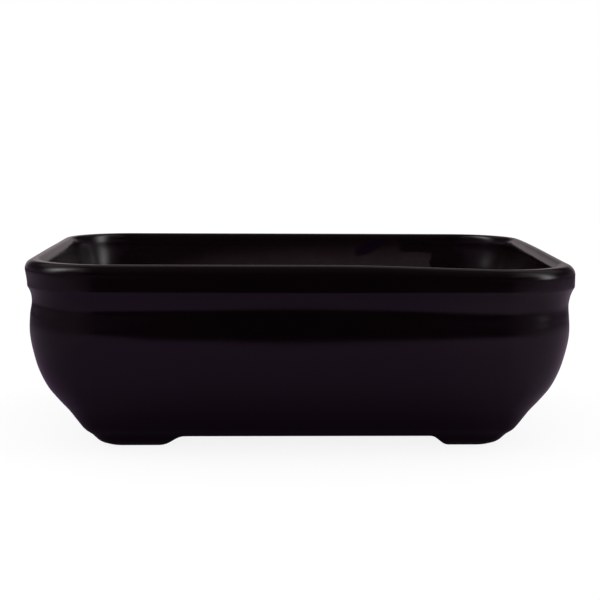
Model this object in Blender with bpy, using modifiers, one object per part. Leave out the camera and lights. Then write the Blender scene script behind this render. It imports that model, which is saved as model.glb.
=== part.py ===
"""A small rectangular bonsai pot of glazed ceramic, as its separate pieces.

The pot is a rounded rectangle in plan. From the top down its wall has a rolled rim band, a shallow cove, a full
belly and a drawn-in base, and it stands on four corner feet. Each of the two drain holes is covered by a square of
plastic net, held down by one bent wire whose legs go through the net and the hole and turn out under the floor.

Metres, +Z up. The origin is on the ground under the middle of the pot, and +X runs along its length.
"""

import math

import bmesh
import bpy
from mathutils import Vector

# The pot's outline.
RIM_LENGTH = 0.204
RIM_DEPTH = 0.159
HEIGHT = 0.0706
RIM_CORNER = 0.030
LEAST_CORNER = 0.005
CORNER_CLOSING_RATIO = 1.1

# The wall's outer line. An inset is measured level, in from the face of the rim band.
BAND_HEIGHT = 0.0104
BAND_EDGE = 0.0006
BAND_ROLL = 0.00012
COVE_HEIGHT = 0.0155
COVE_INSET = 0.0022
BELLY_INSET = 0.0017
BASE_INSET = 0.0240
TOE_INSET = 0.0303
# The belly from the base up to its fullest line: shares of the height, and of the inset that is left.
BELLY_SHARES = (
    (0.060, 0.878),
    (0.148, 0.755),
    (0.236, 0.635),
    (0.341, 0.465),
    (0.464, 0.291),
    (0.622, 0.150),
    (0.797, 0.055),
    (0.910, 0.013),
)
# The cove from the belly's fullest line up to the rim band: shares of the cove's height, and of its inset.
COVE_SHARES = (
    (0.36, 0.88),
    (0.64, 1.00),
    (0.82, 0.77),
    (0.92, 0.50),
    (1.00, 0.22),
)

# The lip and the inside.
LIP_WIDTH = 0.0066
LIP_OUTER_ROUND = 0.0035
LIP_OUTER_DROP = 0.0042
LIP_INNER_ROUND = 0.0027
LIP_INNER_DROP = 0.0040
BAND_BACK_LEAN = 0.0002
LIP_CORNER = 0.0267
WALL = 0.0070
FLOOR = 0.0060
FILLET_RISE = 0.0072
FLOOR_FILLET = 0.0070

# The feet, each an L-shaped pad that follows the base's corner.
FOOT_HEIGHT = 0.0049
FOOT_LENGTH = 0.0172
FOOT_WIDTH = 0.0090
OGEE_LENGTH = 0.0085
FOOT_LAND = 0.0005
# Where the rings of a foot's outer face lie, as shares of its height at each section.
FOOT_FACE_SHARES = (1.0, 0.66, 0.33, 0.12, 0.0)

# The drain holes.
DRAIN_SPACING = 0.084
DRAIN_BORE = 0.016
BORE_EASE_BELOW = 0.0008
BORE_EASE_ABOVE = 0.0012

# The nets over the drain holes.
NET_PITCH = 0.0032
NET_STRAND = 0.0010
NET_THICKNESS = 0.0010
NET_CELLS = 10

# The wires that hold the nets down.
WIRE = 0.0012
WIRE_BEND = 0.0010
LEG_CELL = 1.5
TAIL_LENGTH = 0.0070
LEAST_WIRE_STEP = 0.00006

# The gap that touching pieces keep.
SEAT_GAP = 0.0003

# Fineness of the curved faces.
CORNER_STEPS = 10
WALL_STEPS = 2
INSIDE_STEPS = 14
FILLET_STEPS = 6
LIP_STEPS = 5
OGEE_STEPS = 8
BORE_STEPS = 32
LOOP_STEP = math.radians(15)
BEND_STEPS = 5
SMOOTH_ANGLE = math.radians(40)
LEAN_SAMPLE = 0.0008

UNDERSIDE = FOOT_HEIGHT + SEAT_GAP
FLOOR_TOP = UNDERSIDE + FLOOR
BAND_BOTTOM = HEIGHT - BAND_HEIGHT
BELLY_TOP = BAND_BOTTOM - COVE_HEIGHT

CORNERS = {
    "front_left": (-1, -1),
    "front_right": (1, -1),
    "back_left": (-1, 1),
    "back_right": (1, 1),
}
DRAINS = {"left": -DRAIN_SPACING / 2, "right": DRAIN_SPACING / 2}


def empty_scene():
    for obj in list(bpy.data.objects):
        bpy.data.objects.remove(obj, do_unlink=True)
    for collection in list(bpy.data.collections):
        bpy.data.collections.remove(collection)


def new_collection(name):
    collection = bpy.data.collections.new(name)
    bpy.context.scene.collection.children.link(collection)
    return collection


def new_material(name, colour, roughness, metallic=0.0):
    material = bpy.data.materials.new(name)
    material.use_nodes = True
    shader = material.node_tree.nodes["Principled BSDF"]
    shader.inputs["Base Color"].default_value = (*colour, 1.0)
    shader.inputs["Roughness"].default_value = roughness
    shader.inputs["Metallic"].default_value = metallic
    material.diffuse_color = (*colour, 1.0)
    return material


def add_mesh(name, mesh, collection, material=None):
    obj = bpy.data.objects.new(name, mesh)
    collection.objects.link(obj)
    if material:
        mesh.materials.append(material)
        mesh.shade_smooth()
        mesh.set_sharp_from_angle(angle=SMOOTH_ANGLE)
    return obj


def loft(name, rings):
    """A closed mesh through rings of equally many points, with a flat face over the first and the last."""
    bm = bmesh.new()
    rows = [[bm.verts.new(point) for point in ring] for ring in rings]
    for lower, upper in zip(rows, rows[1:]):
        for i in range(len(lower)):
            j = (i + 1) % len(lower)
            bm.faces.new((lower[i], lower[j], upper[j], upper[i]))
    bm.faces.new(reversed(rows[0]))
    bm.faces.new(rows[-1])
    bmesh.ops.recalc_face_normals(bm, faces=bm.faces)
    mesh = bpy.data.meshes.new(name)
    bm.to_mesh(mesh)
    bm.free()
    return mesh


def wall_line():
    """The wall's outer line from the ground to the rim band's face, as (height, inset) points."""
    points = [(0.0, TOE_INSET), (FOOT_HEIGHT / 3, (TOE_INSET + BASE_INSET) / 2), (UNDERSIDE, BASE_INSET)]
    for height_share, inset_share in BELLY_SHARES:
        height = UNDERSIDE + height_share * (BELLY_TOP - UNDERSIDE)
        points.append((height, BELLY_INSET + inset_share * (BASE_INSET - BELLY_INSET)))
    points.append((BELLY_TOP, BELLY_INSET))
    for height_share, inset_share in COVE_SHARES:
        points.append((BELLY_TOP + height_share * COVE_HEIGHT, inset_share * COVE_INSET))
    points.append((BAND_BOTTOM + BAND_EDGE, BAND_ROLL))
    points.append((BAND_BOTTOM + 2 * BAND_EDGE, BAND_ROLL / 4))
    points.append((HEIGHT - BAND_HEIGHT / 2, 0.0))
    points.append((HEIGHT - LIP_OUTER_DROP, 0.0))
    return points


WALL_LINE = wall_line()


def slope_at(index):
    """The wall line's change of inset per unit of height at one of its points."""
    last = len(WALL_LINE) - 1
    if index >= last - 1:
        return 0.0
    before = WALL_LINE[max(index - 1, 0)]
    after = WALL_LINE[index + 1]
    return (after[1] - before[1]) / (after[0] - before[0])


def inset_at(height):
    """The wall line's inset at a height, on a cubic that passes through its points."""
    span = len(WALL_LINE) - 2
    while span > 0 and WALL_LINE[span][0] > height:
        span -= 1
    (low, inset_low), (high, inset_high) = WALL_LINE[span], WALL_LINE[span + 1]
    rise = high - low
    t = (height - low) / rise
    return (
        (2 * t**3 - 3 * t**2 + 1) * inset_low
        + (t**3 - 2 * t**2 + t) * rise * slope_at(span)
        + (3 * t**2 - 2 * t**3) * inset_high
        + (t**3 - t**2) * rise * slope_at(span + 1)
    )


def outer_corner(inset):
    """The plan radius of the corners where the outer face stands this far in from the rim band's face."""
    return max(LEAST_CORNER, RIM_CORNER - CORNER_CLOSING_RATIO * inset)


def inner_corner(inset):
    """The plan radius of the corners of the inner face. It is fuller, so the lip is broader at the corners."""
    return max(LEAST_CORNER, LIP_CORNER - CORNER_CLOSING_RATIO * (inset - LIP_WIDTH))


def corner_arc(inset, radius):
    """The plan of the corner at +X +Y, from its end on the long side to its end on the short side."""
    centre_x = RIM_LENGTH / 2 - inset - radius
    centre_y = RIM_DEPTH / 2 - inset - radius
    arc = []
    for step in range(CORNER_STEPS + 1):
        angle = math.pi / 2 * (1 - step / CORNER_STEPS)
        arc.append((centre_x + radius * math.cos(angle), centre_y + radius * math.sin(angle)))
    return arc


def wall_ring(height, inset, radius):
    """A rounded rectangle at this height, as points in order round the pot."""
    arc = corner_arc(inset, radius)
    ring = [(x, y) for x, y in arc]
    ring += [(x, -y) for x, y in reversed(arc)]
    ring += [(-x, -y) for x, y in arc]
    ring += [(-x, y) for x, y in reversed(arc)]
    return [Vector((x, y, height)) for x, y in ring]


def quarter_round(start, end, rises):
    """Points after start, on a quarter of an ellipse to end. It leaves start upright if it rises, else level."""
    points = []
    for step in range(1, LIP_STEPS + 1):
        angle = math.pi / 2 * step / LIP_STEPS
        along, across = (math.sin(angle), 1 - math.cos(angle)) if rises else (1 - math.cos(angle), math.sin(angle))
        points.append((start[0] + along * (end[0] - start[0]), start[1] + across * (end[1] - start[1])))
    return points


def outer_profile():
    """(height, inset) points up the outside, from the underside's edge to the crown of the lip."""
    heights = [height for height, _ in WALL_LINE if height >= UNDERSIDE]
    points = []
    for low, high in zip(heights, heights[1:]):
        for step in range(WALL_STEPS):
            height = low + (high - low) * step / WALL_STEPS
            points.append((height, inset_at(height)))
    points.append((heights[-1], 0.0))
    return points + quarter_round(points[-1], (HEIGHT, LIP_OUTER_ROUND), rises=True)


def lean_at(height):
    """How much the wall line's inset grows for each unit further down."""
    return (inset_at(height) - inset_at(height + LEAN_SAMPLE)) / LEAN_SAMPLE


def inner_profile():
    """(height, inset) points down the inside, from the crown of the lip to the edge of the flat floor."""
    crown = (HEIGHT, LIP_WIDTH - LIP_INNER_ROUND)
    points = [crown] + quarter_round(crown, (HEIGHT - LIP_INNER_DROP, LIP_WIDTH), rises=False)
    points.append((BAND_BOTTOM, LIP_WIDTH + BAND_BACK_LEAN))
    for step in range(INSIDE_STEPS):
        height = BELLY_TOP - (BELLY_TOP - UNDERSIDE) * step / INSIDE_STEPS
        lean = lean_at(height)
        reach = WALL / math.hypot(1, lean)
        if height + reach * lean < FLOOR_TOP + FILLET_RISE:
            break
        points.append((height + reach * lean, inset_at(height) + reach))
        last_lean = lean
    return points + floor_fillet(points[-1], last_lean)


def floor_fillet(start, lean):
    """Points after start, on a curve that turns from the wall's inner face to the flat floor."""
    rise = start[0] - FLOOR_TOP
    corner_inset = start[1] + rise * lean
    end_inset = corner_inset + FLOOR_FILLET
    points = []
    for step in range(1, FILLET_STEPS + 1):
        t = step / FILLET_STEPS
        inset = (1 - t) ** 2 * start[1] + 2 * t * (1 - t) * corner_inset + t**2 * end_inset
        points.append((FLOOR_TOP + (1 - t) ** 2 * rise, inset))
    return points


def pot_body(collection, cutters, material):
    rings = [wall_ring(height, inset, outer_corner(inset)) for height, inset in outer_profile()]
    rings += [wall_ring(height, inset, inner_corner(inset)) for height, inset in inner_profile()]
    mesh = loft("pot_body", rings)
    body = add_mesh("pot_body", mesh, collection, material)
    for side, x in DRAINS.items():
        cut = body.modifiers.new("drain hole " + side, "BOOLEAN")
        cut.operation = "DIFFERENCE"
        cut.object = drain_cutter(side, x, cutters)


def drain_cutter(side, x, collection):
    """A turned plug through the floor, flared at both ends so that the hole's edges are eased."""
    past = SEAT_GAP
    radius = DRAIN_BORE / 2
    top, bottom = FLOOR_TOP + past, UNDERSIDE - past
    profile = (
        (0.0, top),
        (radius + BORE_EASE_ABOVE + past, top),
        (radius, FLOOR_TOP - BORE_EASE_ABOVE),
        (radius, UNDERSIDE + BORE_EASE_BELOW),
        (radius + BORE_EASE_BELOW + past, bottom),
        (0.0, bottom),
    )
    mesh = bpy.data.meshes.new("drain_cutter_" + side)
    edges = [(i, i + 1) for i in range(len(profile) - 1)]
    mesh.from_pydata([(r, 0.0, z) for r, z in profile], edges, [])
    cutter = add_mesh("drain_cutter_" + side, mesh, collection)
    cutter.location = (x, 0.0, 0.0)
    turn = cutter.modifiers.new("turn", "SCREW")
    turn.axis = "Z"
    turn.steps = turn.render_steps = BORE_STEPS
    turn.use_merge_vertices = True
    turn.merge_threshold = 0.00001
    cutter.hide_render = True
    cutter.display_type = "WIRE"
    return cutter


def foot_plan(inset):
    """The plan line of the foot at +X +Y: in along the long side, round the corner, back along the short side."""
    half_x, half_y = RIM_LENGTH / 2 - inset, RIM_DEPTH / 2 - inset
    end_x = RIM_LENGTH / 2 - TOE_INSET - FOOT_LENGTH
    end_y = RIM_DEPTH / 2 - TOE_INSET - FOOT_LENGTH
    steps = range(OGEE_STEPS + 1)
    line = [(end_x - OGEE_LENGTH * (1 - step / OGEE_STEPS), half_y) for step in steps]
    line += corner_arc(inset, outer_corner(inset))
    line += [(half_x, end_y - OGEE_LENGTH * step / OGEE_STEPS) for step in steps]
    return line


def foot_soles():
    """The height of the foot's sole at each point of its plan: an ogee down from the land, flat, an ogee up."""
    depth = FOOT_HEIGHT - FOOT_LAND
    ogee = [depth * (1 + math.cos(math.pi * step / OGEE_STEPS)) / 2 for step in range(OGEE_STEPS + 1)]
    return ogee + [0.0] * (CORNER_STEPS + 1) + ogee[::-1]


def foot_rings():
    """The foot at +X +Y as sections across its line, each from the top of its outer face round to its inner top."""
    soles = foot_soles()
    plans = {}

    def place(station, inset, height):
        if inset not in plans:
            plans[inset] = foot_plan(inset)
        x, y = plans[inset][station]
        return Vector((x, y, height))

    rings = []
    for station, sole in enumerate(soles):
        heights = [sole + share * (FOOT_HEIGHT - sole) for share in FOOT_FACE_SHARES]
        ring = [place(station, inset_at(height), height) for height in heights]
        ring.append(place(station, TOE_INSET + FOOT_WIDTH, sole))
        ring.append(place(station, TOE_INSET + FOOT_WIDTH, FOOT_HEIGHT))
        rings.append(ring)
    return rings


def feet(collection, material):
    rings = foot_rings()
    for corner, (side_x, side_y) in CORNERS.items():
        name = "foot_" + corner
        placed = [[Vector((side_x * p.x, side_y * p.y, p.z)) for p in ring] for ring in rings]
        add_mesh(name, loft(name, placed), collection, material)


def drain_screens(collection, material):
    """A flat square of net over each drain hole, its openings in line with the pot's sides."""
    for side, x in DRAINS.items():
        bm = bmesh.new()
        half = NET_CELLS * NET_PITCH / 2
        bmesh.ops.create_grid(bm, x_segments=NET_CELLS, y_segments=NET_CELLS, size=half)
        openings = bmesh.ops.inset_individual(bm, faces=bm.faces[:], thickness=NET_STRAND / 2)
        strands = set(openings["faces"])
        bmesh.ops.delete(bm, geom=[face for face in bm.faces if face not in strands], context="FACES")
        mesh = bpy.data.meshes.new("drain_screen_" + side)
        bm.to_mesh(mesh)
        bm.free()
        screen = add_mesh("drain_screen_" + side, mesh, collection, material)
        screen.location = (x, 0.0, FLOOR_TOP + SEAT_GAP)
        thick = screen.modifiers.new("thickness", "SOLIDIFY")
        thick.thickness = NET_THICKNESS
        thick.offset = 1.0


def turn_points(centre, radius, start, sweep, step):
    """Points on a level arc, the first and the last included."""
    count = max(2, round(abs(sweep) / step))
    points = []
    for i in range(count + 1):
        angle = start + sweep * i / count
        points.append(centre + radius * Vector((math.cos(angle), math.sin(angle), 0.0)))
    return points


def bend_points(corner, back, ahead):
    """Points on the round bend that takes the place of a square corner, between two unit directions."""
    points = []
    for i in range(BEND_STEPS + 1):
        angle = math.pi / 2 * i / BEND_STEPS
        points.append(corner + WIRE_BEND * ((1 - math.sin(angle)) * back + (1 - math.cos(angle)) * ahead))
    return points


def clip_half():
    """Half of a clip's line from the middle of its bridge: out, round the loop, down the leg, out along the tail."""
    level = FLOOR_TOP + SEAT_GAP + NET_THICKNESS + SEAT_GAP + WIRE / 2
    tail_level = UNDERSIDE - SEAT_GAP - WIRE / 2
    leg = LEG_CELL * NET_PITCH
    loop = leg + WIRE_BEND
    centre = Vector((leg + loop, loop, level))
    up, down = Vector((0.0, 0.0, 1.0)), Vector((0.0, 0.0, -1.0))
    outward = Vector((1.0, 1.0, 0.0)).normalized()
    line = turn_points(centre, loop, -math.pi / 2, 1.5 * math.pi, LOOP_STEP)
    line += bend_points(Vector((leg, leg, level)), Vector((0.0, 1.0, 0.0)), down)
    foot = Vector((leg, leg, tail_level))
    line += bend_points(foot, up, outward)
    line.append(foot + (WIRE_BEND + TAIL_LENGTH) * outward)
    return line


def tidy_line(points):
    """The points without those that repeat the one before."""
    kept = [points[0]]
    for point in points[1:]:
        if (point - kept[-1]).length > LEAST_WIRE_STEP:
            kept.append(point)
    return kept


def screen_clips(collection, material):
    """One bent wire a net: a bridge with a loop at each end, and two legs that go down through the hole."""
    half = clip_half()
    other_half = [Vector((-p.x, -p.y, p.z)) for p in reversed(half)]
    line = tidy_line(other_half + half)
    for side, x in DRAINS.items():
        curve = bpy.data.curves.new("screen_clip_" + side, "CURVE")
        curve.dimensions = "3D"
        curve.bevel_depth = WIRE / 2
        curve.bevel_resolution = 2
        curve.use_fill_caps = True
        spline = curve.splines.new("POLY")
        spline.points.add(len(line) - 1)
        for place, point in zip(spline.points, line):
            place.co = (*point, 1.0)
        spline.use_smooth = True
        curve.materials.append(material)
        clip = bpy.data.objects.new("screen_clip_" + side, curve)
        clip.location = (x, 0.0, 0.0)
        collection.objects.link(clip)


def main():
    empty_scene()
    parts = new_collection("rectangular_planter")
    cutters = new_collection("cutters")
    glaze = new_material("black_glaze", (0.0085, 0.0055, 0.0075), 0.16)
    foot_glaze = new_material("foot_glaze", (0.0085, 0.0055, 0.0075), 0.2)
    plastic = new_material("black_plastic_net", (0.02, 0.02, 0.02), 0.45)
    wire = new_material("aluminium_wire", (0.55, 0.55, 0.56), 0.35, metallic=1.0)
    pot_body(parts, cutters, glaze)
    feet(parts, foot_glaze)
    drain_screens(parts, plastic)
    screen_clips(parts, wire)


main()
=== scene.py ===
"""Looks for the small rectangular glazed bonsai pot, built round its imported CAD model. Metres, +Z up."""

import math

import bmesh
import bpy
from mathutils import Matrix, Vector, noise


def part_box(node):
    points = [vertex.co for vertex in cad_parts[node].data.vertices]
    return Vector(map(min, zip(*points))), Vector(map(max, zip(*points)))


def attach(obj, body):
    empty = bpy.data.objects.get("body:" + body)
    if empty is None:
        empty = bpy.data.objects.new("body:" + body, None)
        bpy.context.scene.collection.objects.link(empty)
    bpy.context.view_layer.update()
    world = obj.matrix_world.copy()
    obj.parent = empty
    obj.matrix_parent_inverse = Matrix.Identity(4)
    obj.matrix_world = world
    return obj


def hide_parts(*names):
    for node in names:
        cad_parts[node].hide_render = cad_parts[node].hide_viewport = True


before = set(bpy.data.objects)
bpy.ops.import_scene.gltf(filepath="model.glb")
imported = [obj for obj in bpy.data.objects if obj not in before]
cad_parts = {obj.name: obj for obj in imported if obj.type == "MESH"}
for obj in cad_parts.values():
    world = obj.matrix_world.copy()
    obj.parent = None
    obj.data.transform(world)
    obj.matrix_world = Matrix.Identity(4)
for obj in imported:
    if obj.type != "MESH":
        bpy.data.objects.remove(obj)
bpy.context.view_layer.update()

# Sizes that the frame gives.
body_low, body_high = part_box("pot_body")
net_low, net_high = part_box("drain_screen_right")
HALF_LENGTH, HALF_DEPTH, HEIGHT = body_high.x, body_high.y, body_high.z
UNDERSIDE = body_low.z
DRAIN_X = (net_low.x + net_high.x) / 2

# The plan of the wall's corners.
RIM_CORNER = 0.030
LEAST_CORNER = 0.005
CORNER_CLOSING_RATIO = 1.1

# The wall's outer line. An inset is measured level, in from the face of the rim band.
BAND_HEIGHT = 0.0104
BAND_EDGE = 0.0006
BAND_ROLL = 0.00012
COVE_HEIGHT = 0.0155
COVE_INSET = 0.0022
BELLY_INSET = 0.0017
BASE_INSET = 0.0240
TOE_INSET = 0.0303
BELLY_SHARES = (
    (0.060, 0.878),
    (0.148, 0.755),
    (0.236, 0.635),
    (0.341, 0.465),
    (0.464, 0.291),
    (0.622, 0.150),
    (0.797, 0.055),
    (0.910, 0.013),
)
COVE_SHARES = (
    (0.36, 0.88),
    (0.64, 1.00),
    (0.82, 0.77),
    (0.92, 0.50),
    (1.00, 0.22),
)

# The lip and the inside.
LIP_WIDTH = 0.0066
LIP_OUTER_ROUND = 0.0035
LIP_OUTER_DROP = 0.0042
LIP_INNER_ROUND = 0.0027
LIP_INNER_DROP = 0.0040
LIP_CORNER = 0.0267
CORNER_HOLLOW = 0.0040
WALL = 0.0070
FLOOR = 0.0060
FILLET_RISE = 0.0072
FLOOR_FILLET = 0.0070

# The feet.
FOOT_LENGTH = 0.0172
FOOT_WIDTH = 0.0090
OGEE_LENGTH = 0.0085
EDGE_ROUND = 0.0005
APRON_DROP = 0.0006

# The drain holes, nets and wires.
DRAIN_BORE = 0.016
BORE_EASE_BELOW = 0.0008
BORE_EASE_ABOVE = 0.0012
NET_CELLS = 10
NET_STRAND = 0.0010
WIRE = 0.0012
WIRE_BEND = 0.0010
LEG_CELL = 1.5
TAIL_LENGTH = 0.0070
SEAT_GAP = 0.0003
STRAND_ROUND = 0.3 * NET_STRAND

# The cutter of a drain hole, and how finely holes, bends and loops are drawn.
CUTTER_PAST = 0.002
HOLE_MARGIN = 0.0005
HOLE_SIDES = 72
EASE_STEPS_ABOVE = 8
EASE_STEPS_BELOW = 6
BEND_STEPS = 12
LOOP_STEPS = 54

FLOOR_TOP = UNDERSIDE + FLOOR
BAND_BOTTOM = HEIGHT - BAND_HEIGHT
BELLY_TOP = BAND_BOTTOM - COVE_HEIGHT
FOOT_TOP = UNDERSIDE - SEAT_GAP

# Stations round a quarter of the pot, from the middle of a long side to the middle of a short side.
PLAIN_STEP = 0.0022
FINE_STEP = 0.0008
SHARE_STEPS = 4
ARC_STEPS = 24
OGEE_MARGIN = 0.0020
FOOT_END_X = HALF_LENGTH - TOE_INSET - FOOT_LENGTH
FOOT_END_Y = HALF_DEPTH - TOE_INSET - FOOT_LENGTH

# A side's last station keeps this far from the rounded corner, so that no ring folds over itself.
CORNER_ROOM = 0.0005

# The outermost ring of the flat underside is this wide. A level face larger than this area is shaded flat.
FLAT_RIM = 0.0002
FLAT_AREA = 0.00005
LEVEL_NORMAL = 0.999

# The two front feet were cut by hand, a little unevenly.
LEFT_FOOT_LONGER = 0.0014
LEFT_OGEE_LENGTH = 0.0100
RIGHT_FOOT_SHORTER = 0.0018
RIGHT_OGEE_LENGTH = 0.0077
FRONT_OGEES = {
    -1: (FOOT_END_X - LEFT_FOOT_LONGER, LEFT_OGEE_LENGTH),
    1: (FOOT_END_X + RIGHT_FOOT_SHORTER, RIGHT_OGEE_LENGTH),
}

# How many rings each part of the skin gets.
FOOT_RINGS = 6
EDGE_RINGS = 4
TOE_RINGS = 18
BELLY_RINGS = 30
COVE_RINGS = 28
BAND_EDGE_RINGS = 12
BAND_RINGS = 5
LIP_RINGS = 10
FLARE_RINGS = 22
WALL_RINGS = 42
FILLET_RINGS = 12

# The rings that follow the soles up and down end at this share of the height.
TOE_SHARE = 0.2

# Where the inside leaves the lip for the wall below it, as shares of the height between the two.
FLARE_SPAN = (0.06, 0.56)

# How the fired pot departs from its true shape. A span runs from where a change begins to where it is whole:
# in shares of the half length or the half depth, or in metres above the ground.
DRAW_IN = 0.00035
DRAW_IN_EDGE = (0.45, 0.85)
DRAW_IN_HEIGHT = (0.0, 0.02)
SLOW_WAVES = 22.0
SLOW_SHARE = 0.5
QUICK_WAVES = 55.0
QUICK_SHARE = 0.22
RIM_DIP = 0.0016
RIM_DIP_LENGTH = (0.10, 0.84)
RIM_DIP_DEPTH = (0.50, -0.85)
RIM_DIP_HEIGHT = (0.86 * HEIGHT, HEIGHT)
RIM_LEAN = 0.0010
RIM_LEAN_LENGTH = (-0.7, -1.0)
RIM_LEAN_BELOW = (0.050, 0.060)
RIM_LEAN_ABOVE = (HEIGHT - 0.001, HEIGHT - 0.009)
FRONT_DEPTH = (0.0, -0.9)
CORNER_LOSS = 0.65
CORNER_LOSS_LENGTH = (0.70, 0.82)
COVE_SAG = 0.0004
COVE_SAG_MORE_RIGHT = 0.0014
COVE_SAG_LENGTH = (0.30, 0.65)
COVE_SAG_BELOW = (0.047, 0.051)
COVE_SAG_ABOVE = (BAND_BOTTOM, BAND_BOTTOM - 0.009)
SHOULDER_LIFT = 0.0013
SHOULDER_LIFT_LESS_RIGHT = 0.0007
SHOULDER_LIFT_RIGHT = (0.0, 0.4)
SHOULDER_LIFT_LENGTH = (0.50, 0.70)
SHOULDER_LIFT_BELOW = (0.033, 0.041)
SHOULDER_LIFT_ABOVE = (0.0505, 0.0445)


def spread(start, end, count):
    """Evenly spaced values, the first and the last included."""
    return [start + (end - start) * i / count for i in range(count + 1)]


def smooth(t):
    """A smooth step from 0 to 1, level at both ends."""
    t = min(1.0, max(0.0, t))
    return t * t * (3 - 2 * t)


def step(value, span):
    """A smooth step from 0 at a span's first value to 1 at its second, which may be the smaller one."""
    start, end = span
    return smooth((value - start) / (end - start))


def wall_line():
    """The wall's outer line from the ground to the rim band's face, as (height, inset) points."""
    points = [(0.0, TOE_INSET), (FOOT_TOP / 3, (TOE_INSET + BASE_INSET) / 2), (UNDERSIDE, BASE_INSET)]
    for height_share, inset_share in BELLY_SHARES:
        height = UNDERSIDE + height_share * (BELLY_TOP - UNDERSIDE)
        points.append((height, BELLY_INSET + inset_share * (BASE_INSET - BELLY_INSET)))
    points.append((BELLY_TOP, BELLY_INSET))
    for height_share, inset_share in COVE_SHARES:
        points.append((BELLY_TOP + height_share * COVE_HEIGHT, inset_share * COVE_INSET))
    points.append((BAND_BOTTOM + BAND_EDGE, BAND_ROLL))
    points.append((BAND_BOTTOM + 2 * BAND_EDGE, BAND_ROLL / 4))
    points.append((HEIGHT - BAND_HEIGHT / 2, 0.0))
    points.append((HEIGHT - LIP_OUTER_DROP, 0.0))
    return points


WALL_LINE = wall_line()


def slope_at(index):
    """The wall line's change of inset per unit of height at one of its points."""
    last = len(WALL_LINE) - 1
    if index >= last - 1:
        return 0.0
    before = WALL_LINE[max(index - 1, 0)]
    after = WALL_LINE[index + 1]
    return (after[1] - before[1]) / (after[0] - before[0])


def inset_at(height):
    """The wall line's inset at a height, on a cubic that passes through its points."""
    span = len(WALL_LINE) - 2
    while span > 0 and WALL_LINE[span][0] > height:
        span -= 1
    (low, inset_low), (high, inset_high) = WALL_LINE[span], WALL_LINE[span + 1]
    rise = high - low
    t = (height - low) / rise
    return (
        (2 * t**3 - 3 * t**2 + 1) * inset_low
        + (t**3 - 2 * t**2 + t) * rise * slope_at(span)
        + (3 * t**2 - 2 * t**3) * inset_high
        + (t**3 - t**2) * rise * slope_at(span + 1)
    )


def outer_corner(inset):
    """The corner's radius outside, which closes in as the wall does."""
    return max(LEAST_CORNER, RIM_CORNER - CORNER_CLOSING_RATIO * inset)


def inner_corner(inset):
    """The corner's radius inside, a little less below the lip, where the corners are hollowed out."""
    lip_start = LIP_WIDTH - LIP_INNER_ROUND
    hollow = CORNER_HOLLOW * step(inset, (lip_start, WALL + BELLY_INSET))
    return max(LEAST_CORNER, LIP_CORNER - CORNER_CLOSING_RATIO * (inset - LIP_WIDTH) - hollow)


def side_stations(foot_end):
    """Distances from the middle of a side to just past the foot's end, fine along the ogee."""
    start = foot_end - OGEE_LENGTH - OGEE_MARGIN
    end = foot_end + OGEE_MARGIN
    plain = spread(0.0, start, round(start / PLAIN_STEP))
    return plain[:-1] + spread(start, end, round((end - start) / FINE_STEP))


def quarter_stations():
    """The stations of a quarter of the pot: two sides, and the share of the rounded corner between them."""
    shares = spread(0.0, 1.0, SHARE_STEPS)[1:-1]
    stations = [("long", x) for x in side_stations(FOOT_END_X)]
    stations += [("long share", share) for share in shares]
    stations += [("arc", share) for share in spread(0.0, 1.0, ARC_STEPS)]
    stations += [("short share", 1 - share) for share in shares]
    stations += [("short", y) for y in reversed(side_stations(FOOT_END_Y))]
    return stations


def station_place(station, inset, radius):
    """The plan position at +X +Y of a station on the line this far in from the rim band's face."""
    kind, value = station
    centre_x, centre_y = HALF_LENGTH - inset - radius, HALF_DEPTH - inset - radius
    last_x, last_y = FOOT_END_X + OGEE_MARGIN, FOOT_END_Y + OGEE_MARGIN
    end_x, end_y = min(last_x, centre_x - CORNER_ROOM), min(last_y, centre_y - CORNER_ROOM)
    if kind == "long":
        return value * end_x / last_x, centre_y + radius
    if kind == "long share":
        return end_x + value * (centre_x - end_x), centre_y + radius
    if kind == "arc":
        angle = math.pi / 2 * (1 - value)
        return centre_x + radius * math.cos(angle), centre_y + radius * math.sin(angle)
    if kind == "short share":
        return centre_x + radius, end_y + value * (centre_y - end_y)
    return centre_x + radius, value * end_y / last_y


def sole_height(station, side_x, side_y):
    """How far the bottom edge stands off the ground: 0 under a foot, an ogee at its ends, then the apron."""
    kind, value = station
    if kind not in ("long", "short"):
        return 0.0
    foot_end, ogee = (FOOT_END_X if kind == "long" else FOOT_END_Y), OGEE_LENGTH
    if kind == "long" and side_y < 0:
        foot_end, ogee = FRONT_OGEES[side_x]
    along = min(1.0, max(0.0, (foot_end - value) / ogee))
    return (UNDERSIDE - APRON_DROP) * (1 - math.cos(math.pi * along)) / 2


def underside_rings():
    """Rings down the foot's inner face and across its sole, each a function of the sole's height."""
    inner = TOE_INSET + FOOT_WIDTH
    rings = []
    for width in (FLAT_RIM, 0.0):
        rings.append(lambda sole, inset=inner + EDGE_ROUND + width: (UNDERSIDE, inset))
    for share in spread(0.0, 1.0, FOOT_RINGS)[1:]:
        drop, inset = smooth(share), inner + EDGE_ROUND * (1 - 2 * share)
        rings.append(lambda sole, drop=drop, inset=inset: (UNDERSIDE + (sole - UNDERSIDE) * drop, inset))
    start = inner - EDGE_ROUND
    for share in spread(0.0, 1.0, FOOT_RINGS)[1:]:
        rings.append(lambda sole, share=share: (sole, start + share * (inset_at(sole) + EDGE_ROUND - start)))
    return rings


def edge_round(sole, t):
    """The rounded edge between the sole or the apron and the outer face."""
    start = (sole, inset_at(sole) + EDGE_ROUND)
    corner = (sole, inset_at(sole))
    end = (sole + EDGE_ROUND, inset_at(sole + EDGE_ROUND))
    return tuple((1 - t) ** 2 * a + 2 * t * (1 - t) * b + t**2 * c for a, b, c in zip(start, corner, end))


def lower_wall(sole, share, top):
    """A point of the wall this share of the way from the rounded edge up to a level height."""
    height = sole + EDGE_ROUND + share * (top - sole - EDGE_ROUND)
    return height, inset_at(height)


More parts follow.
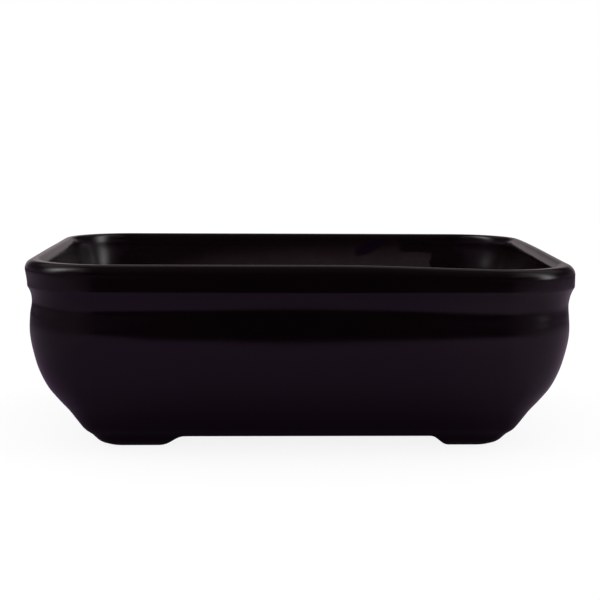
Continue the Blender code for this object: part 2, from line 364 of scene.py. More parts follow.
def outside_rings():
    """Rings from the rounded bottom edge up the outside to the crown of the lip."""
    rings = [lambda sole, t=t: edge_round(sole, t) for t in spread(0.0, 1.0, EDGE_RINGS)[1:]]
    toe_top = TOE_SHARE * HEIGHT
    for share in spread(0.0, 1.0, TOE_RINGS)[1:]:
        rings.append(lambda sole, share=share: lower_wall(sole, share, toe_top))
    under_band = BAND_BOTTOM - 2 * BAND_EDGE
    past_edge = BAND_BOTTOM + 2 * BAND_EDGE
    heights = spread(toe_top, BELLY_TOP, BELLY_RINGS)[1:]
    heights += spread(BELLY_TOP, under_band, COVE_RINGS)[1:]
    heights += spread(under_band, past_edge, BAND_EDGE_RINGS)[1:]
    heights += spread(past_edge, HEIGHT - LIP_OUTER_DROP, BAND_RINGS)[1:]
    rings += [lambda sole, height=height: (height, inset_at(height)) for height in heights]
    for angle in spread(0.0, math.pi / 2, LIP_RINGS)[1:]:
        height = HEIGHT - LIP_OUTER_DROP * (1 - math.sin(angle))
        inset = LIP_OUTER_ROUND * (1 - math.cos(angle))
        rings.append(lambda sole, height=height, inset=inset: (height, inset))
    return rings


def lean_at(height):
    """How much the wall line's inset grows for each unit further down."""
    rise = 0.0008
    return (inset_at(height) - inset_at(height + rise)) / rise


def inside_points():
    """(height, inset) points from the crown of the lip down the inside to the edge of the flat floor."""
    points = []
    for angle in spread(0.0, math.pi / 2, LIP_RINGS):
        height = HEIGHT - LIP_INNER_DROP * (1 - math.cos(angle))
        points.append((height, LIP_WIDTH - LIP_INNER_ROUND * (1 - math.sin(angle))))
    wall = []
    for height in spread(BELLY_TOP, UNDERSIDE, WALL_RINGS):
        lean = lean_at(height)
        reach = WALL / math.hypot(1, lean)
        if height + reach * lean < FLOOR_TOP + FILLET_RISE:
            break
        wall.append((height + reach * lean, inset_at(height) + reach))
        last_lean = lean
    (top_height, top_inset), (low_height, low_inset) = points[-1], wall[0]
    for t in spread(0.0, 1.0, FLARE_RINGS)[1:-1]:
        height = top_height + t * (low_height - top_height)
        points.append((height, top_inset + step(t, FLARE_SPAN) * (low_inset - top_inset)))
    points += wall
    start_height, start_inset = wall[-1]
    rise = start_height - FLOOR_TOP
    corner_inset = start_inset + rise * last_lean
    end_inset = corner_inset + FLOOR_FILLET
    for t in spread(0.0, 1.0, FILLET_RINGS)[1:]:
        inset = (1 - t) ** 2 * start_inset + 2 * t * (1 - t) * corner_inset + t**2 * end_inset
        points.append((FLOOR_TOP + (1 - t) ** 2 * rise, inset))
    return points


def settle(point):
    """Where a point of the true shape ends up after drying and firing."""
    x, y, z = point
    side_x, side_y = x / HALF_LENGTH, y / HALF_DEPTH
    aside = abs(side_x)
    wave = noise.noise(Vector((x, y, z)) * SLOW_WAVES) * SLOW_SHARE
    wave += noise.noise(Vector((x + 1, y, z)) * QUICK_WAVES) * QUICK_SHARE
    pull = DRAW_IN * step(max(aside, abs(side_y)), DRAW_IN_EDGE) * step(z, DRAW_IN_HEIGHT) * (0.5 + wave)
    flat = math.hypot(side_x, side_y) or 1.0
    dip = RIM_DIP * step(side_x, RIM_DIP_LENGTH) * step(side_y, RIM_DIP_DEPTH) * step(z, RIM_DIP_HEIGHT)
    lean = RIM_LEAN * step(side_x, RIM_LEAN_LENGTH) * step(z, RIM_LEAN_ABOVE) * step(z, RIM_LEAN_BELOW)
    front = step(side_y, FRONT_DEPTH) * (1 - CORNER_LOSS * step(aside, CORNER_LOSS_LENGTH))
    sag = COVE_SAG + COVE_SAG_MORE_RIGHT * step(side_x, COVE_SAG_LENGTH)
    sag *= front * step(z, COVE_SAG_BELOW) * step(z, COVE_SAG_ABOVE)
    lift = SHOULDER_LIFT - SHOULDER_LIFT_LESS_RIGHT * step(side_x, SHOULDER_LIFT_RIGHT)
    lift *= step(aside, SHOULDER_LIFT_LENGTH) * front
    lift *= step(z, SHOULDER_LIFT_BELOW) * step(z, SHOULDER_LIFT_ABOVE)
    return Vector((x - pull * side_x / flat + lean, y - pull * side_y / flat, z - dip - sag + lift))


def pot_ring(maker, corner):
    """One ring of points round the pot."""
    ring = []
    for side_x, side_y in ((1, 1), (1, -1), (-1, -1), (-1, 1)):
        quarter = []
        for station in quarter_stations():
            height, inset = maker(sole_height(station, side_x, side_y))
            x, y = station_place(station, inset, corner(inset))
            quarter.append((side_x * x, side_y * y, height))
        if side_x * side_y < 0:
            quarter.reverse()
        ring += quarter[:-1]
    return ring


def link(name, mesh, material):
    """A new object in the scene. One with a material is shaded smooth."""
    obj = bpy.data.objects.new(name, mesh)
    bpy.context.scene.collection.objects.link(obj)
    if material:
        mesh.materials.append(material)
        mesh.shade_smooth()
    return obj


def build_pot(material):
    """The body and its feet as one skin, marked with the depth below the lip inside and where it is bare."""
    bottom = underside_rings()
    outside = outside_rings()
    inside = [lambda sole, point=point: point for point in inside_points()]
    rings = [pot_ring(maker, outer_corner) for maker in bottom + outside]
    rings += [pot_ring(maker, inner_corner) for maker in inside]
    count = len(rings[0])
    verts = [settle(point) for ring in rings for point in ring]
    faces = [tuple(range(count))]
    for row in range(len(rings) - 1):
        for i in range(count):
            j = (i + 1) % count
            faces.append((row * count + j, row * count + i, (row + 1) * count + i, (row + 1) * count + j))
    faces.append(tuple(reversed(range(len(verts) - count, len(verts)))))
    mesh = bpy.data.meshes.new("glazed_pot")
    mesh.from_pydata(verts, [], faces)
    bm = bmesh.new()
    bm.from_mesh(mesh)
    bmesh.ops.recalc_face_normals(bm, faces=bm.faces)
    bm.to_mesh(mesh)
    bm.free()
    first_inside = (len(bottom) + len(outside)) * count
    first_outside = len(bottom) * count
    depth = mesh.attributes.new("depth", "FLOAT", "POINT")
    bare = mesh.attributes.new("bare", "FLOAT", "POINT")
    for i, vert in enumerate(verts):
        depth.data[i].value = HEIGHT - vert.z if i >= first_inside else 0.0
        bare.data[i].value = 1.0 if i < first_outside else 0.0
    pot = link("glazed_pot", mesh, material)
    for side in (-1, 1):
        cut_drain(pot, side * DRAIN_X)
    mark_holes(pot.data)
    return pot


def drain_profile():
    """(radius, height) points of the plug that cuts a drain hole with rounded edges, from above to below."""
    radius = DRAIN_BORE / 2
    points = [(radius + BORE_EASE_ABOVE, FLOOR_TOP + CUTTER_PAST)]
    for angle in spread(0.0, math.pi / 2, EASE_STEPS_ABOVE):
        out, down = BORE_EASE_ABOVE * (1 - math.sin(angle)), BORE_EASE_ABOVE * (1 - math.cos(angle))
        points.append((radius + out, FLOOR_TOP - down))
    for angle in spread(0.0, math.pi / 2, EASE_STEPS_BELOW):
        out, up = BORE_EASE_BELOW * (1 - math.cos(angle)), BORE_EASE_BELOW * (1 - math.sin(angle))
        points.append((radius + out, UNDERSIDE + up))
    points.append((radius + BORE_EASE_BELOW, UNDERSIDE - CUTTER_PAST))
    return points


def turned_mesh(name, profile, centre_x, steps):
    """A closed solid of revolution about an upright line through (centre_x, 0)."""
    verts, faces = [], []
    for radius, height in profile:
        for k in range(steps):
            angle = math.tau * k / steps
            verts.append((centre_x + radius * math.cos(angle), radius * math.sin(angle), height))
    for row in range(len(profile) - 1):
        for k in range(steps):
            m = (k + 1) % steps
            faces.append((row * steps + k, (row + 1) * steps + k, (row + 1) * steps + m, row * steps + m))
    faces.append(tuple(range(steps)))
    faces.append(tuple(reversed(range(len(verts) - steps, len(verts)))))
    mesh = bpy.data.meshes.new(name)
    mesh.from_pydata(verts, [], faces)
    mesh.shade_smooth()
    return mesh


def cut_drain(pot, x):
    """Cut one drain hole through the floor, and shade flat the large level faces that it leaves."""
    plug = link("plug", turned_mesh("plug", drain_profile(), x, HOLE_SIDES), None)
    cut = pot.modifiers.new("drain", "BOOLEAN")
    cut.operation = "DIFFERENCE"
    cut.object = plug
    bpy.context.view_layer.update()
    cut_mesh = bpy.data.meshes.new_from_object(pot.evaluated_get(bpy.context.evaluated_depsgraph_get()))
    pot.modifiers.clear()
    pot.data = cut_mesh
    bpy.data.objects.remove(plug)
    for face in cut_mesh.polygons:
        if face.area > FLAT_AREA and abs(face.normal.z) > LEVEL_NORMAL:
            face.use_smooth = False


def mark_holes(mesh):
    """Give the cut edges of the drain holes their depth, and mark them as bare clay."""
    reach = DRAIN_BORE / 2 + BORE_EASE_ABOVE + HOLE_MARGIN
    depth, bare = mesh.attributes["depth"], mesh.attributes["bare"]
    for vert in mesh.vertices:
        if math.hypot(abs(vert.co.x) - DRAIN_X, vert.co.y) < reach:
            depth.data[vert.index].value = HEIGHT - vert.co.z
            bare.data[vert.index].value = 1.0


def build_net(name, x, material):
    """A square of moulded net with softly rounded strands."""
    bm = bmesh.new()
    bmesh.ops.create_grid(bm, x_segments=NET_CELLS, y_segments=NET_CELLS, size=(net_high.x - net_low.x) / 2)
    openings = bmesh.ops.inset_individual(bm, faces=bm.faces[:], thickness=NET_STRAND / 2)
    strands = set(openings["faces"])
    bmesh.ops.delete(bm, geom=[face for face in bm.faces if face not in strands], context="FACES")
    mesh = bpy.data.meshes.new(name)
    bm.to_mesh(mesh)
    bm.free()
    net = link(name, mesh, material)
    net.location = (x, 0.0, net_low.z)
    thick = net.modifiers.new("thickness", "SOLIDIFY")
    thick.thickness = net_high.z - net_low.z
    thick.offset = 1.0
    rounded = net.modifiers.new("rounded strands", "BEVEL")
    rounded.width = STRAND_ROUND
    rounded.segments = 3
    rounded.limit_method = "ANGLE"
    return net


def bend_points(corner, back, ahead):
    """Points on the round bend that takes the place of a square corner, between two unit directions."""
    points = []
    for angle in spread(0.0, math.pi / 2, BEND_STEPS):
        points.append(corner + WIRE_BEND * ((1 - math.sin(angle)) * back + (1 - math.cos(angle)) * ahead))
    return points


def clip_half():
    """Half of a clip's line from the middle of its bridge: round the loop, down the leg, along the tail."""
    level = net_high.z + SEAT_GAP + WIRE / 2
    tail_level = UNDERSIDE - SEAT_GAP - WIRE / 2
    leg = LEG_CELL * (net_high.x - net_low.x) / NET_CELLS
    loop = leg + WIRE_BEND
    centre = Vector((leg + loop, loop, level))
    outward = Vector((1.0, 1.0, 0.0)).normalized()
    line = []
    for angle in spread(-math.pi / 2, math.pi, LOOP_STEPS):
        line.append(centre + loop * Vector((math.cos(angle), math.sin(angle), 0.0)))
    line += bend_points(Vector((leg, leg, level)), Vector((0.0, 1.0, 0.0)), Vector((0.0, 0.0, -1.0)))[1:]
    foot = Vector((leg, leg, tail_level))
    line += bend_points(foot, Vector((0.0, 0.0, 1.0)), outward)
    line.append(foot + (WIRE_BEND + TAIL_LENGTH) * outward)
    return line


def build_clip(name, x, material):
    """The bent wire that holds a net: a bridge with a loop at each end and two legs through the hole."""
    half = clip_half()
    line = [Vector((-p.x, -p.y, p.z)) for p in reversed(half)] + half[1:]
    curve = bpy.data.curves.new(name, "CURVE")
    curve.dimensions = "3D"
    curve.bevel_depth = WIRE / 2
    curve.bevel_resolution = 5
    curve.use_fill_caps = True
    spline = curve.splines.new("POLY")
    spline.points.add(len(line) - 1)
    for place, point in zip(spline.points, line):
        place.co = (*point, 1.0)
    spline.use_smooth = True
    curve.materials.append(material)
    clip = bpy.data.objects.new(name, curve)
    clip.location = (x, 0.0, 0.0)
    bpy.context.scene.collection.objects.link(clip)
    return clip


def new_tree(name):
    """A material's node tree and its Principled shader."""
    material = bpy.data.materials.new(name)
    material.use_nodes = True
    return material, material.node_tree, material.node_tree.nodes["Principled BSDF"]


def add_node(tree, kind, inputs=None, **settings):
    """A new node. Its inputs are given by name or number, as values or as the outputs they are linked to."""
    node = tree.nodes.new(kind)
    for name, value in settings.items():
        setattr(node, name, value)
    for key, value in (inputs or {}).items():
        if isinstance(value, bpy.types.NodeSocket):
            tree.links.new(value, node.inputs[key])
        else:
            node.inputs[key].default_value = value
    return node


def calc(tree, operation, *values):
    """The output of a Math node."""
    return add_node(tree, "ShaderNodeMath", dict(enumerate(values)), operation=operation).outputs[0]


def ramp(tree, value, low, high, out_low=0.0, out_high=1.0):
    """A smooth step of a value from one level to another."""
    inputs = {"Value": value, "From Min": low, "From Max": high, "To Min": out_low, "To Max": out_high}
    return add_node(tree, "ShaderNodeMapRange", inputs, interpolation_type="SMOOTHSTEP").outputs["Result"]


def grain(tree, place, scale, detail=2.0, roughness=0.5):
    """The value of a Noise texture, 0 to 1."""
    inputs = {"Vector": place, "Scale": scale, "Detail": detail, "Roughness": roughness}
    return add_node(tree, "ShaderNodeTexNoise", inputs).outputs[0]


def blend(tree, share, first, second):
    """A mix of two colours, which a Mix node takes at its inputs 6 and 7 and gives at its output 2."""
    node = add_node(tree, "ShaderNodeMix", data_type="RGBA")
    for key, value in ((0, share), (6, first), (7, second)):
        if isinstance(value, bpy.types.NodeSocket):
            tree.links.new(value, node.inputs[key])
        else:
            node.inputs[key].default_value = (*value, 1.0) if key else value
    return node.outputs[2]


# Colours of the glaze and the clay, each with the two ends of its mottling. The glaze inside is a lighter
# copy of the outer glaze: painted light that makes up for the shade inside the pot.
OUTER_GLAZE = ((0.0017, 0.0005, 0.0009), (0.0027, 0.0009, 0.0014))
INNER_GLAZE_PAINTED_LIGHTER = ((0.0034, 0.0008, 0.0015), (0.0050, 0.0014, 0.0024))
SPLASH_GLAZE = (0.0036, 0.0008, 0.0052)
CLAY = ((0.0165, 0.0093, 0.0106), (0.0290, 0.0178, 0.0192))

# Roughness. The thin glaze keeps below 0.27, where the denoiser starts to draw a hard edge of its own.
GLAZE_ROUGHNESS = 0.14
RAGGED_ROUGHNESS = 0.05
INNER_ROUGHNESS = 0.06
THIN_ROUGHNESS = 0.262
MATT_ROUGHNESS = 0.36

# The glaze's lower edge inside, as depths below the lip. It wanders by GLAZE_DRIFT, thins out over CLAY_SPAN
# and gives way to matt clay over MATT_SPAN.
GLAZE_DEPTH = 0.018
GLAZE_DRIFT = 0.009
CLAY_SPAN = (-0.0012, 0.0143)
MATT_SPAN = (0.015, 0.024)

# The patch on the back wall where the glaze stops short: how much higher the edge is there, the patch's ends
# along x, and the notch at its upper right.
PATCH_RISE = 0.0148
PATCH_LEFT = (-0.100, 0.0)
PATCH_RIGHT = (0.0515, 0.0485)
NOTCH_RIGHT = (0.0650, 0.0625)
NOTCH_TOP = (0.0058, 0.0088)
BACK_WALL = (0.050, 0.060)

# The splash of glaze over the patch.
SPLASH_X = 0.0365
SPLASH_DEPTH = 0.0052
SPLASH_TILT = math.radians(28)
SPLASH_HALF_LENGTH = 0.0076
SPLASH_HALF_WIDTH = 0.0026


def leaf_edge(tree, x, depth, wobble):
    """0 on a splash of glaze, the shape of a tilted leaf, that ran down over the bare clay, and 1 off it."""
    cos, sin = math.cos(SPLASH_TILT), math.sin(SPLASH_TILT)
    aside = calc(tree, "SUBTRACT", x, SPLASH_X)
    under = calc(tree, "SUBTRACT", depth, SPLASH_DEPTH)
    along = calc(tree, "MULTIPLY_ADD", under, -sin, calc(tree, "MULTIPLY", aside, cos))
    across = calc(tree, "MULTIPLY_ADD", under, cos, calc(tree, "MULTIPLY", aside, sin))
    along = calc(tree, "POWER", calc(tree, "DIVIDE", along, SPLASH_HALF_LENGTH), 2.0)
    across = calc(tree, "POWER", calc(tree, "DIVIDE", across, SPLASH_HALF_WIDTH), 2.0)
    ring = calc(tree, "ADD", along, across)
    return ramp(tree, calc(tree, "MULTIPLY_ADD", wobble, 1.4, ring), 0.7, 1.4)


def thinned(tree, x, y, depth, drift, wobble):
    """How far the glaze inside has thinned out to bare clay: 0 is whole glaze."""
    depth_ragged = calc(tree, "MULTIPLY_ADD", wobble, 0.004, depth)
    x_ragged = calc(tree, "MULTIPLY_ADD", wobble, 0.008, x)
    notch = calc(tree, "MULTIPLY", ramp(tree, x_ragged, *NOTCH_RIGHT), ramp(tree, depth_ragged, *NOTCH_TOP))
    patch = calc(tree, "MAXIMUM", ramp(tree, x_ragged, *PATCH_RIGHT), notch)
    patch = calc(tree, "MULTIPLY", ramp(tree, x, *PATCH_LEFT), patch)
    patch = calc(tree, "MULTIPLY", patch, ramp(tree, y, *BACK_WALL))
    edge = calc(tree, "MULTIPLY_ADD", patch, -PATCH_RISE, GLAZE_DEPTH)
    edge = calc(tree, "MULTIPLY_ADD", calc(tree, "SUBTRACT", drift, 0.5), GLAZE_DRIFT, edge)
    return ramp(tree, calc(tree, "SUBTRACT", depth_ragged, edge), *CLAY_SPAN)


def glaze_material():
    """Near-black glaze that gives way to dark clay on the soles, the underside and down the inside. Inside,
    the glaze is painted lighter against the shade in the pot.
    """
    material, tree, shader = new_tree("black_glaze")
    place = add_node(tree, "ShaderNodeTexCoord").outputs["Object"]
    x, y, _ = add_node(tree, "ShaderNodeSeparateXYZ", {0: place}).outputs
    depth = add_node(tree, "ShaderNodeAttribute", attribute_name="depth").outputs["Fac"]
    bare = add_node(tree, "ShaderNodeAttribute", attribute_name="bare").outputs["Fac"]
    drift = grain(tree, place, 24.0, 3.0)
    ragged = grain(tree, place, 140.0, 4.0, 0.6)
    peel = grain(tree, place, 420.0, 2.0)
    grit = grain(tree, place, 1700.0, 3.0, 0.7)
    wobble = calc(tree, "SUBTRACT", ragged, 0.5)

    # Where clay shows instead of glaze.
    off_splash = leaf_edge(tree, x, depth, wobble)
    clay = calc(tree, "MULTIPLY", thinned(tree, x, y, depth, drift, wobble), off_splash)
    sole = ramp(tree, calc(tree, "MULTIPLY_ADD", wobble, 0.3, bare), 0.45, 0.6)
    clay = calc(tree, "MAXIMUM", clay, sole)
    matt = calc(tree, "MAXIMUM", calc(tree, "MULTIPLY", clay, ramp(tree, depth, *MATT_SPAN)), sole)

    # Colour.
    outer = blend(tree, drift, *OUTER_GLAZE)
    inner = blend(tree, drift, *INNER_GLAZE_PAINTED_LIGHTER)
    splash = calc(tree, "MULTIPLY", calc(tree, "SUBTRACT", 1.0, off_splash), ramp(tree, y, *BACK_WALL))
    inner = blend(tree, splash, inner, SPLASH_GLAZE)
    # Painted light: below the lip the glaze turns into its lighter inside copy, to make up for the shade in
    # the pot.
    glaze_colour = blend(tree, ramp(tree, depth, 0.001, 0.004), outer, inner)
    stain = calc(tree, "MULTIPLY_ADD", ragged, 0.6, calc(tree, "MULTIPLY", grit, 0.5))
    clay_colour = blend(tree, stain, *CLAY)
    tree.links.new(blend(tree, clay, glaze_colour, clay_colour), shader.inputs["Base Color"])

    # Roughness.
    glossy = calc(tree, "MULTIPLY_ADD", ragged, RAGGED_ROUGHNESS, GLAZE_ROUGHNESS)
    glossy = calc(tree, "MULTIPLY_ADD", ramp(tree, depth, 0.003, 0.006), INNER_ROUGHNESS, glossy)
    thin = calc(tree, "MULTIPLY_ADD", clay, calc(tree, "SUBTRACT", THIN_ROUGHNESS, glossy), glossy)
    tree.links.new(calc(tree, "MULTIPLY_ADD", matt, MATT_ROUGHNESS, thin), shader.inputs["Roughness"])
    shader.inputs["IOR"].default_value = 1.5

    # Fine relief: the clay's grit, and the glaze's orange peel and slow waves.
    rough = calc(tree, "MULTIPLY", calc(tree, "SUBTRACT", grit, 0.5), clay)
    surface = calc(tree, "MULTIPLY_ADD", rough, 0.12, calc(tree, "MULTIPLY", peel, 0.12))
    surface = calc(tree, "MULTIPLY_ADD", grain(tree, place, 75.0, 1.0), 0.35, surface)
    bump = add_node(tree, "ShaderNodeBump", {"Height": surface, "Distance": 0.0004, "Strength": 0.35})
    tree.links.new(bump.outputs["Normal"], shader.inputs["Normal"])
    return material


def net_material():
    """Black moulded plastic, satin, with the fine grain of the mould and a little clay dust on it."""
    material, tree, shader = new_tree("black_net_plastic")
    place = add_node(tree, "ShaderNodeTexCoord").outputs["Object"]
    dust = ramp(tree, grain(tree, place, 320.0, 4.0, 0.65), 0.50, 0.72)
    colour = blend(tree, dust, (0.014, 0.014, 0.015), (0.045, 0.038, 0.034))
    tree.links.new(colour, shader.inputs["Base Color"])
    tree.links.new(calc(tree, "MULTIPLY_ADD", dust, 0.25, 0.40), shader.inputs["Roughness"])
    mould = grain(tree, place, 2600.0, 2.0)
    bump = add_node(tree, "ShaderNodeBump", {"Height": mould, "Distance": 0.0001, "Strength": 0.3})
    tree.links.new(bump.outputs["Normal"], shader.inputs["Normal"])
    return material


def wire_material():
    """Soft aluminium wire, dulled, with handling marks."""
    material, tree, shader = new_tree("aluminium_wire")
    place = add_node(tree, "ShaderNodeTexCoord").outputs["Object"]
    marks = grain(tree, place, 900.0, 4.0, 0.6)
    colour = blend(tree, marks, (0.46, 0.46, 0.47), (0.62, 0.62, 0.63))
    tree.links.new(colour, shader.inputs["Base Color"])
    tree.links.new(calc(tree, "MULTIPLY_ADD", marks, 0.22, 0.26), shader.inputs["Roughness"])
    shader.inputs["Metallic"].default_value = 1.0
    bump = add_node(tree, "ShaderNodeBump", {"Height": marks, "Distance": 0.0001, "Strength": 0.3})
    tree.links.new(bump.outputs["Normal"], shader.inputs["Normal"])
    return material


# The floor. The glaze mirrors it as a dim table whose light and shade are painted into its colour: painted
# shade close in front of the pot and a painted shadow under it, painted light beside and behind the pot and
# more to the right, and a painted glow.
FLOOR_FRONT = -0.38
FLOOR_REACH = 1.2
TABLE_MIDDLE = (0.29, 0.180, 0.320)
TABLE_RIGHT = (0.42, 0.31, 0.43)
TABLE_FAR_LEFT = (0.30, 0.22, 0.32)
# The colour of the painted shade on the table, in front of the pot and under it.
TABLE_PAINTED_SHADE = (0.01, 0.006, 0.01)
# The strength of the table's painted glow: it shines though it is no lamp.
TABLE_PAINTED_GLOW = 0.30
FLOOR_WHITE = 1.03
SHADOW_SHARE = 0.15


def painted_table_light(tree, place, x, y):
    """The light and shade painted on the table: painted shade in front of the pot, a painted shadow under it,
    and less light far from it and far behind it.
    """
    side = calc(tree, "ABSOLUTE", x)
    distance = add_node(tree, "ShaderNodeVectorMath", {0: place}, operation="LENGTH").outputs["Value"]
    beside = calc(tree, "SUBTRACT", side, HALF_LENGTH)
    before = calc(tree, "SUBTRACT", calc(tree, "ABSOLUTE", y), HALF_DEPTH)
    light = ramp(tree, calc(tree, "ADD", side, y), -0.30, -0.13)
    light = calc(tree, "MULTIPLY", light, ramp(tree, distance, 0.85, 0.33, 0.5, 1.0))
    clear = calc(tree, "MAXIMUM", beside, before)
    light = calc(tree, "MULTIPLY", light, ramp(tree, clear, -0.035, 0.012, 0.45, 1.0))
    return calc(tree, "MULTIPLY", light, ramp(tree, y, 0.40, 0.05, 0.5, 1.0))


def floor_material():
    """White with a faint shadow to the camera, and for all other rays the table, with its painted light,
    shade and glow.
    """
    material, tree, shader = new_tree("studio_floor")
    tree.nodes.remove(shader)
    rays = add_node(tree, "ShaderNodeLightPath")
    place = add_node(tree, "ShaderNodeTexCoord").outputs["Object"]
    white = add_node(tree, "ShaderNodeEmission", {"Color": (1, 1, 1, 1), "Strength": FLOOR_WHITE})
    lit = add_node(tree, "ShaderNodeBsdfDiffuse", {"Color": (0.9, 0.9, 0.9, 1)})
    seen = add_node(tree, "ShaderNodeMixShader", {0: SHADOW_SHARE, 1: white.outputs[0], 2: lit.outputs[0]})
    x, y, _ = add_node(tree, "ShaderNodeSeparateXYZ", {0: place}).outputs
    colour = blend(tree, ramp(tree, x, 0.04, 0.13), TABLE_MIDDLE, TABLE_RIGHT)
    colour = blend(tree, ramp(tree, x, -0.12, -0.20), colour, TABLE_FAR_LEFT)
    # Painted shade: the table's colour darkens to the painted shade in front of the pot, under it, far from
    # it and far behind it.
    colour = blend(tree, painted_table_light(tree, place, x, y), TABLE_PAINTED_SHADE, colour)
    sheet = add_node(tree, "ShaderNodeBsdfDiffuse", {"Color": colour})
    # The table's painted glow, an emission though the table is no lamp.
    painted_glow = add_node(tree, "ShaderNodeEmission", {"Color": colour, "Strength": TABLE_PAINTED_GLOW})
    table = add_node(tree, "ShaderNodeMixShader", {0: 0.5, 1: sheet.outputs[0], 2: painted_glow.outputs[0]})
    inputs = {0: rays.outputs["Is Camera Ray"], 1: table.outputs[0], 2: seen.outputs[0]}
    both = add_node(tree, "ShaderNodeMixShader", inputs)
    tree.links.new(both.outputs[0], tree.nodes["Material Output"].inputs["Surface"])
    return material


def add_floor():
    """The floor, a stage piece that isn't part of the pot. It stops short of the camera."""
    mesh = bpy.data.meshes.new("studio_floor")
    corners = [(-FLOOR_REACH, FLOOR_FRONT), (FLOOR_REACH, FLOOR_FRONT), (FLOOR_REACH, FLOOR_REACH)]
    corners.append((-FLOOR_REACH, FLOOR_REACH))
    mesh.from_pydata([(x, y, 0.0) for x, y in corners], [], [(0, 1, 2, 3)])
    floor = link("studio_floor", mesh, floor_material())


# The studio that the glaze mirrors.
FRONT_WALL = (0.072, 0.044, 0.076)
SIDE_WALL_LOW = (0.120, 0.086, 0.122)
SIDE_WALL_HIGH = (0.050, 0.036, 0.050)
DARK_GAP = (0.0095, 0.0058, 0.0105)
CEILING_FRONT = (0.030, 0.020, 0.025)
CEILING_AROUND = (0.28, 0.235, 0.255)
BACKDROP_LEFT = (0.42, 0.36, 0.38)
BACKDROP_RIGHT = (0.32, 0.275, 0.29)
BACKDROP_HIGH = (0.15, 0.13, 0.14)

# The mirrored lamps: azimuth, elevation, roll, reach to the side and reach upwards in degrees, then strength.
LEFT_GLOW = (192, 37, -18, 7, 12, 3.6)
RIGHT_GLOW = (-16, 18, -8, 7, 17, 3.1)
SKIRT_SHARE = 0.02


def along(tree, direction, axis):
    """How far a direction points along an axis."""
    node = add_node(tree, "ShaderNodeVectorMath", {0: direction, 1: axis}, operation="DOT_PRODUCT")
    return node.outputs["Value"]


def towards(azimuth, elevation):
    """A unit direction. Its azimuth, in degrees, is counted from +X towards the back."""
    around, up = math.radians(azimuth), math.radians(elevation)
    return Vector((math.cos(up) * math.cos(around), math.cos(up) * math.sin(around), math.sin(up)))


def glow(tree, direction, azimuth, elevation, roll, width, height, strength):
    """The soft reflection of a lamp: light that fades away from its middle, and a faint wide skirt."""
    away, around, tilt = towards(azimuth, elevation), math.radians(azimuth), math.radians(roll)
    level = Vector((-math.sin(around), math.cos(around), 0.0))
    rise = away.cross(level)
    sideways = math.cos(tilt) * level + math.sin(tilt) * rise
    upwards = math.cos(tilt) * rise - math.sin(tilt) * level
    total = 0.0
    for axis, reach in ((sideways, width), (upwards, height)):
        part = calc(tree, "DIVIDE", along(tree, direction, axis), math.sin(math.radians(reach)))
        total = calc(tree, "ADD", calc(tree, "MULTIPLY", part, part), total)
    core = calc(tree, "EXPONENT", calc(tree, "MULTIPLY", total, -0.5))
    skirt = calc(tree, "EXPONENT", calc(tree, "MULTIPLY", total, -0.14))
    share = calc(tree, "MULTIPLY_ADD", skirt, SKIRT_SHARE, core)
    ahead = ramp(tree, along(tree, direction, away), 0.0, 0.2)
    return calc(tree, "MULTIPLY", calc(tree, "MULTIPLY", share, ahead), strength)


def dim_room(tree, x, y, z):
    """The walls and the ceiling, by the parts of the direction in which they are seen from the pot."""
    # A dark gap runs from the front over the top, narrow near the horizon, with a dim wall on either side.
    below = ramp(tree, z, 0.0, -0.06, 0.0, 0.19)
    above = ramp(tree, z, 0.14, 0.28, 0.0, 0.36)
    aside = calc(tree, "ABSOLUTE", calc(tree, "SUBTRACT", x, 0.04))
    past_gap = calc(tree, "SUBTRACT", aside, calc(tree, "MAXIMUM", below, above))
    front = calc(tree, "MULTIPLY", ramp(tree, aside, 0.75, 0.35), ramp(tree, y, 0.5, 0.1))
    room = blend(tree, ramp(tree, z, 0.05, 0.35), SIDE_WALL_LOW, SIDE_WALL_HIGH)
    room = blend(tree, front, room, FRONT_WALL)
    room = blend(tree, ramp(tree, past_gap, 0.17, 0.10), room, DARK_GAP)
    beside = ramp(tree, calc(tree, "ABSOLUTE", x), 0.20, 0.50)
    around = calc(tree, "MAXIMUM", beside, ramp(tree, y, 0.25, 0.50))
    ceiling = blend(tree, around, CEILING_FRONT, CEILING_AROUND)
    return blend(tree, ramp(tree, z, 0.46, 0.70), room, ceiling)


def add_world():
    """White to the camera and even light on the pot. Reflections see a backdrop, a dim room and the lamps."""
    world = bpy.data.worlds.new("studio")
    bpy.context.scene.world = world
    world.use_nodes = True
    world.cycles.sampling_method = "NONE"
    tree = world.node_tree
    direction = add_node(tree, "ShaderNodeTexCoord").outputs["Generated"]
    x, y, z = add_node(tree, "ShaderNodeSeparateXYZ", {0: direction}).outputs
    backdrop = blend(tree, ramp(tree, x, -0.05, 0.05), BACKDROP_LEFT, BACKDROP_RIGHT)
    backdrop = blend(tree, ramp(tree, z, 0.14, 0.32), backdrop, BACKDROP_HIGH)
    studio = blend(tree, ramp(tree, y, 0.78, 0.97), dim_room(tree, x, y, z), backdrop)
    lamps = calc(tree, "ADD", glow(tree, direction, *LEFT_GLOW), glow(tree, direction, *RIGHT_GLOW))
    lamps = calc(tree, "MULTIPLY", lamps, ramp(tree, z, 0.0, 0.12))
    shine = add_node(tree, "ShaderNodeVectorMath", {0: studio, 1: lamps}, operation="ADD")
    rays = add_node(tree, "ShaderNodeLightPath")
    mirrored = calc(tree, "MAXIMUM", rays.outputs["Is Glossy Ray"], rays.outputs["Is Transmission Ray"])
    colour = blend(tree, mirrored, (1.0, 1.0, 1.0), shine.outputs[0])
    tree.links.new(colour, tree.nodes["Background"].inputs["Color"])
    tree.nodes["Background"].inputs["Strength"].default_value = 1.0


# The soft boxes that light the pot: how far away they stand and how large they are.
LAMP_AWAY = 1.0
LAMP_WIDTH = 0.40
LAMP_HEIGHT = 0.60


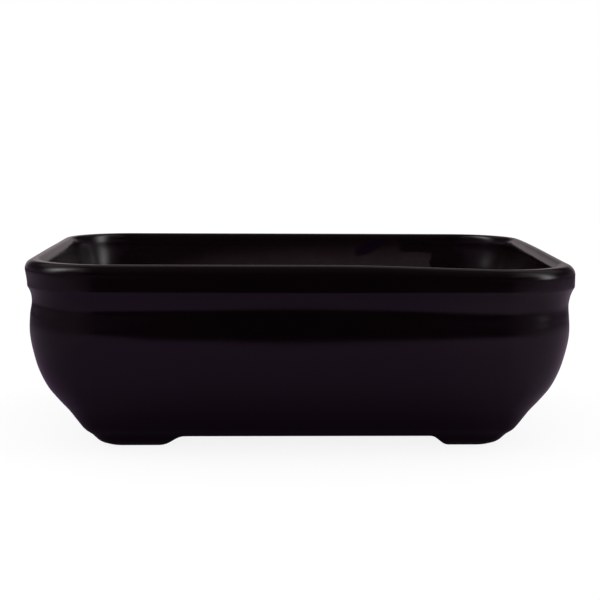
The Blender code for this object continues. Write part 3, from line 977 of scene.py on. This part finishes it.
def add_lamp(name, azimuth, elevation, radiance):
    """A soft box that faces the pot. Reflections don't see it, because the world holds its softer glow."""
    lamp = bpy.data.lights.new(name, "AREA")
    lamp.shape = "RECTANGLE"
    lamp.size, lamp.size_y = LAMP_WIDTH, LAMP_HEIGHT
    lamp.energy = radiance * math.pi * LAMP_WIDTH * LAMP_HEIGHT
    obj = bpy.data.objects.new(name, lamp)
    bpy.context.scene.collection.objects.link(obj)
    away = towards(azimuth, elevation)
    obj.location = Vector((0.0, 0.0, HEIGHT)) + LAMP_AWAY * away
    obj.rotation_euler = away.to_track_quat("Z", "Y").to_euler()
    obj.visible_glossy = False


# The camera, as fitted to the outline of the rim, the belly and the feet.
PICTURE_WIDTH = 600
FOCAL_PIXELS = 1408.4
SENSOR_WIDTH = 36.0
CAMERA_PLACE = (-0.0182, -0.5691, 0.1181)
CAMERA_DOWN = math.radians(6.91)
CAMERA_TURN = math.radians(-1.97)
CAMERA_ROLL = math.radians(0.33)


def add_camera():
    """The camera at the photo's viewing angle."""
    camera = bpy.data.cameras.new("camera")
    camera.sensor_width = SENSOR_WIDTH
    camera.lens = FOCAL_PIXELS / PICTURE_WIDTH * SENSOR_WIDTH
    obj = bpy.data.objects.new("camera", camera)
    bpy.context.scene.collection.objects.link(obj)
    obj.location = CAMERA_PLACE
    obj.rotation_euler = (math.pi / 2 - CAMERA_DOWN, 0.0, CAMERA_TURN)
    obj.rotation_euler.rotate_axis("Z", CAMERA_ROLL)
    bpy.context.scene.camera = obj


pot = build_pot(glaze_material())
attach(pot, "root")
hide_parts("pot_body", "foot_front_left", "foot_front_right", "foot_back_left", "foot_back_right")
plastic, wire = net_material(), wire_material()
for side, x in (("left", -DRAIN_X), ("right", DRAIN_X)):
    net = build_net("moulded_net_" + side, x, plastic)
    clip = build_clip("bent_wire_" + side, x, wire)
    for piece, node, slot in ((net, "drain_screen_", "net"), (clip, "screen_clip_", "wire")):
        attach(piece, "root")
        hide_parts(node + side)
add_floor()
add_world()
add_lamp("soft_box_left", azimuth=190, elevation=32, radiance=1.9)
add_lamp("soft_box_right", azimuth=-12, elevation=32, radiance=1.7)
add_camera()
bpy.context.scene.view_settings.view_transform = "Standard"
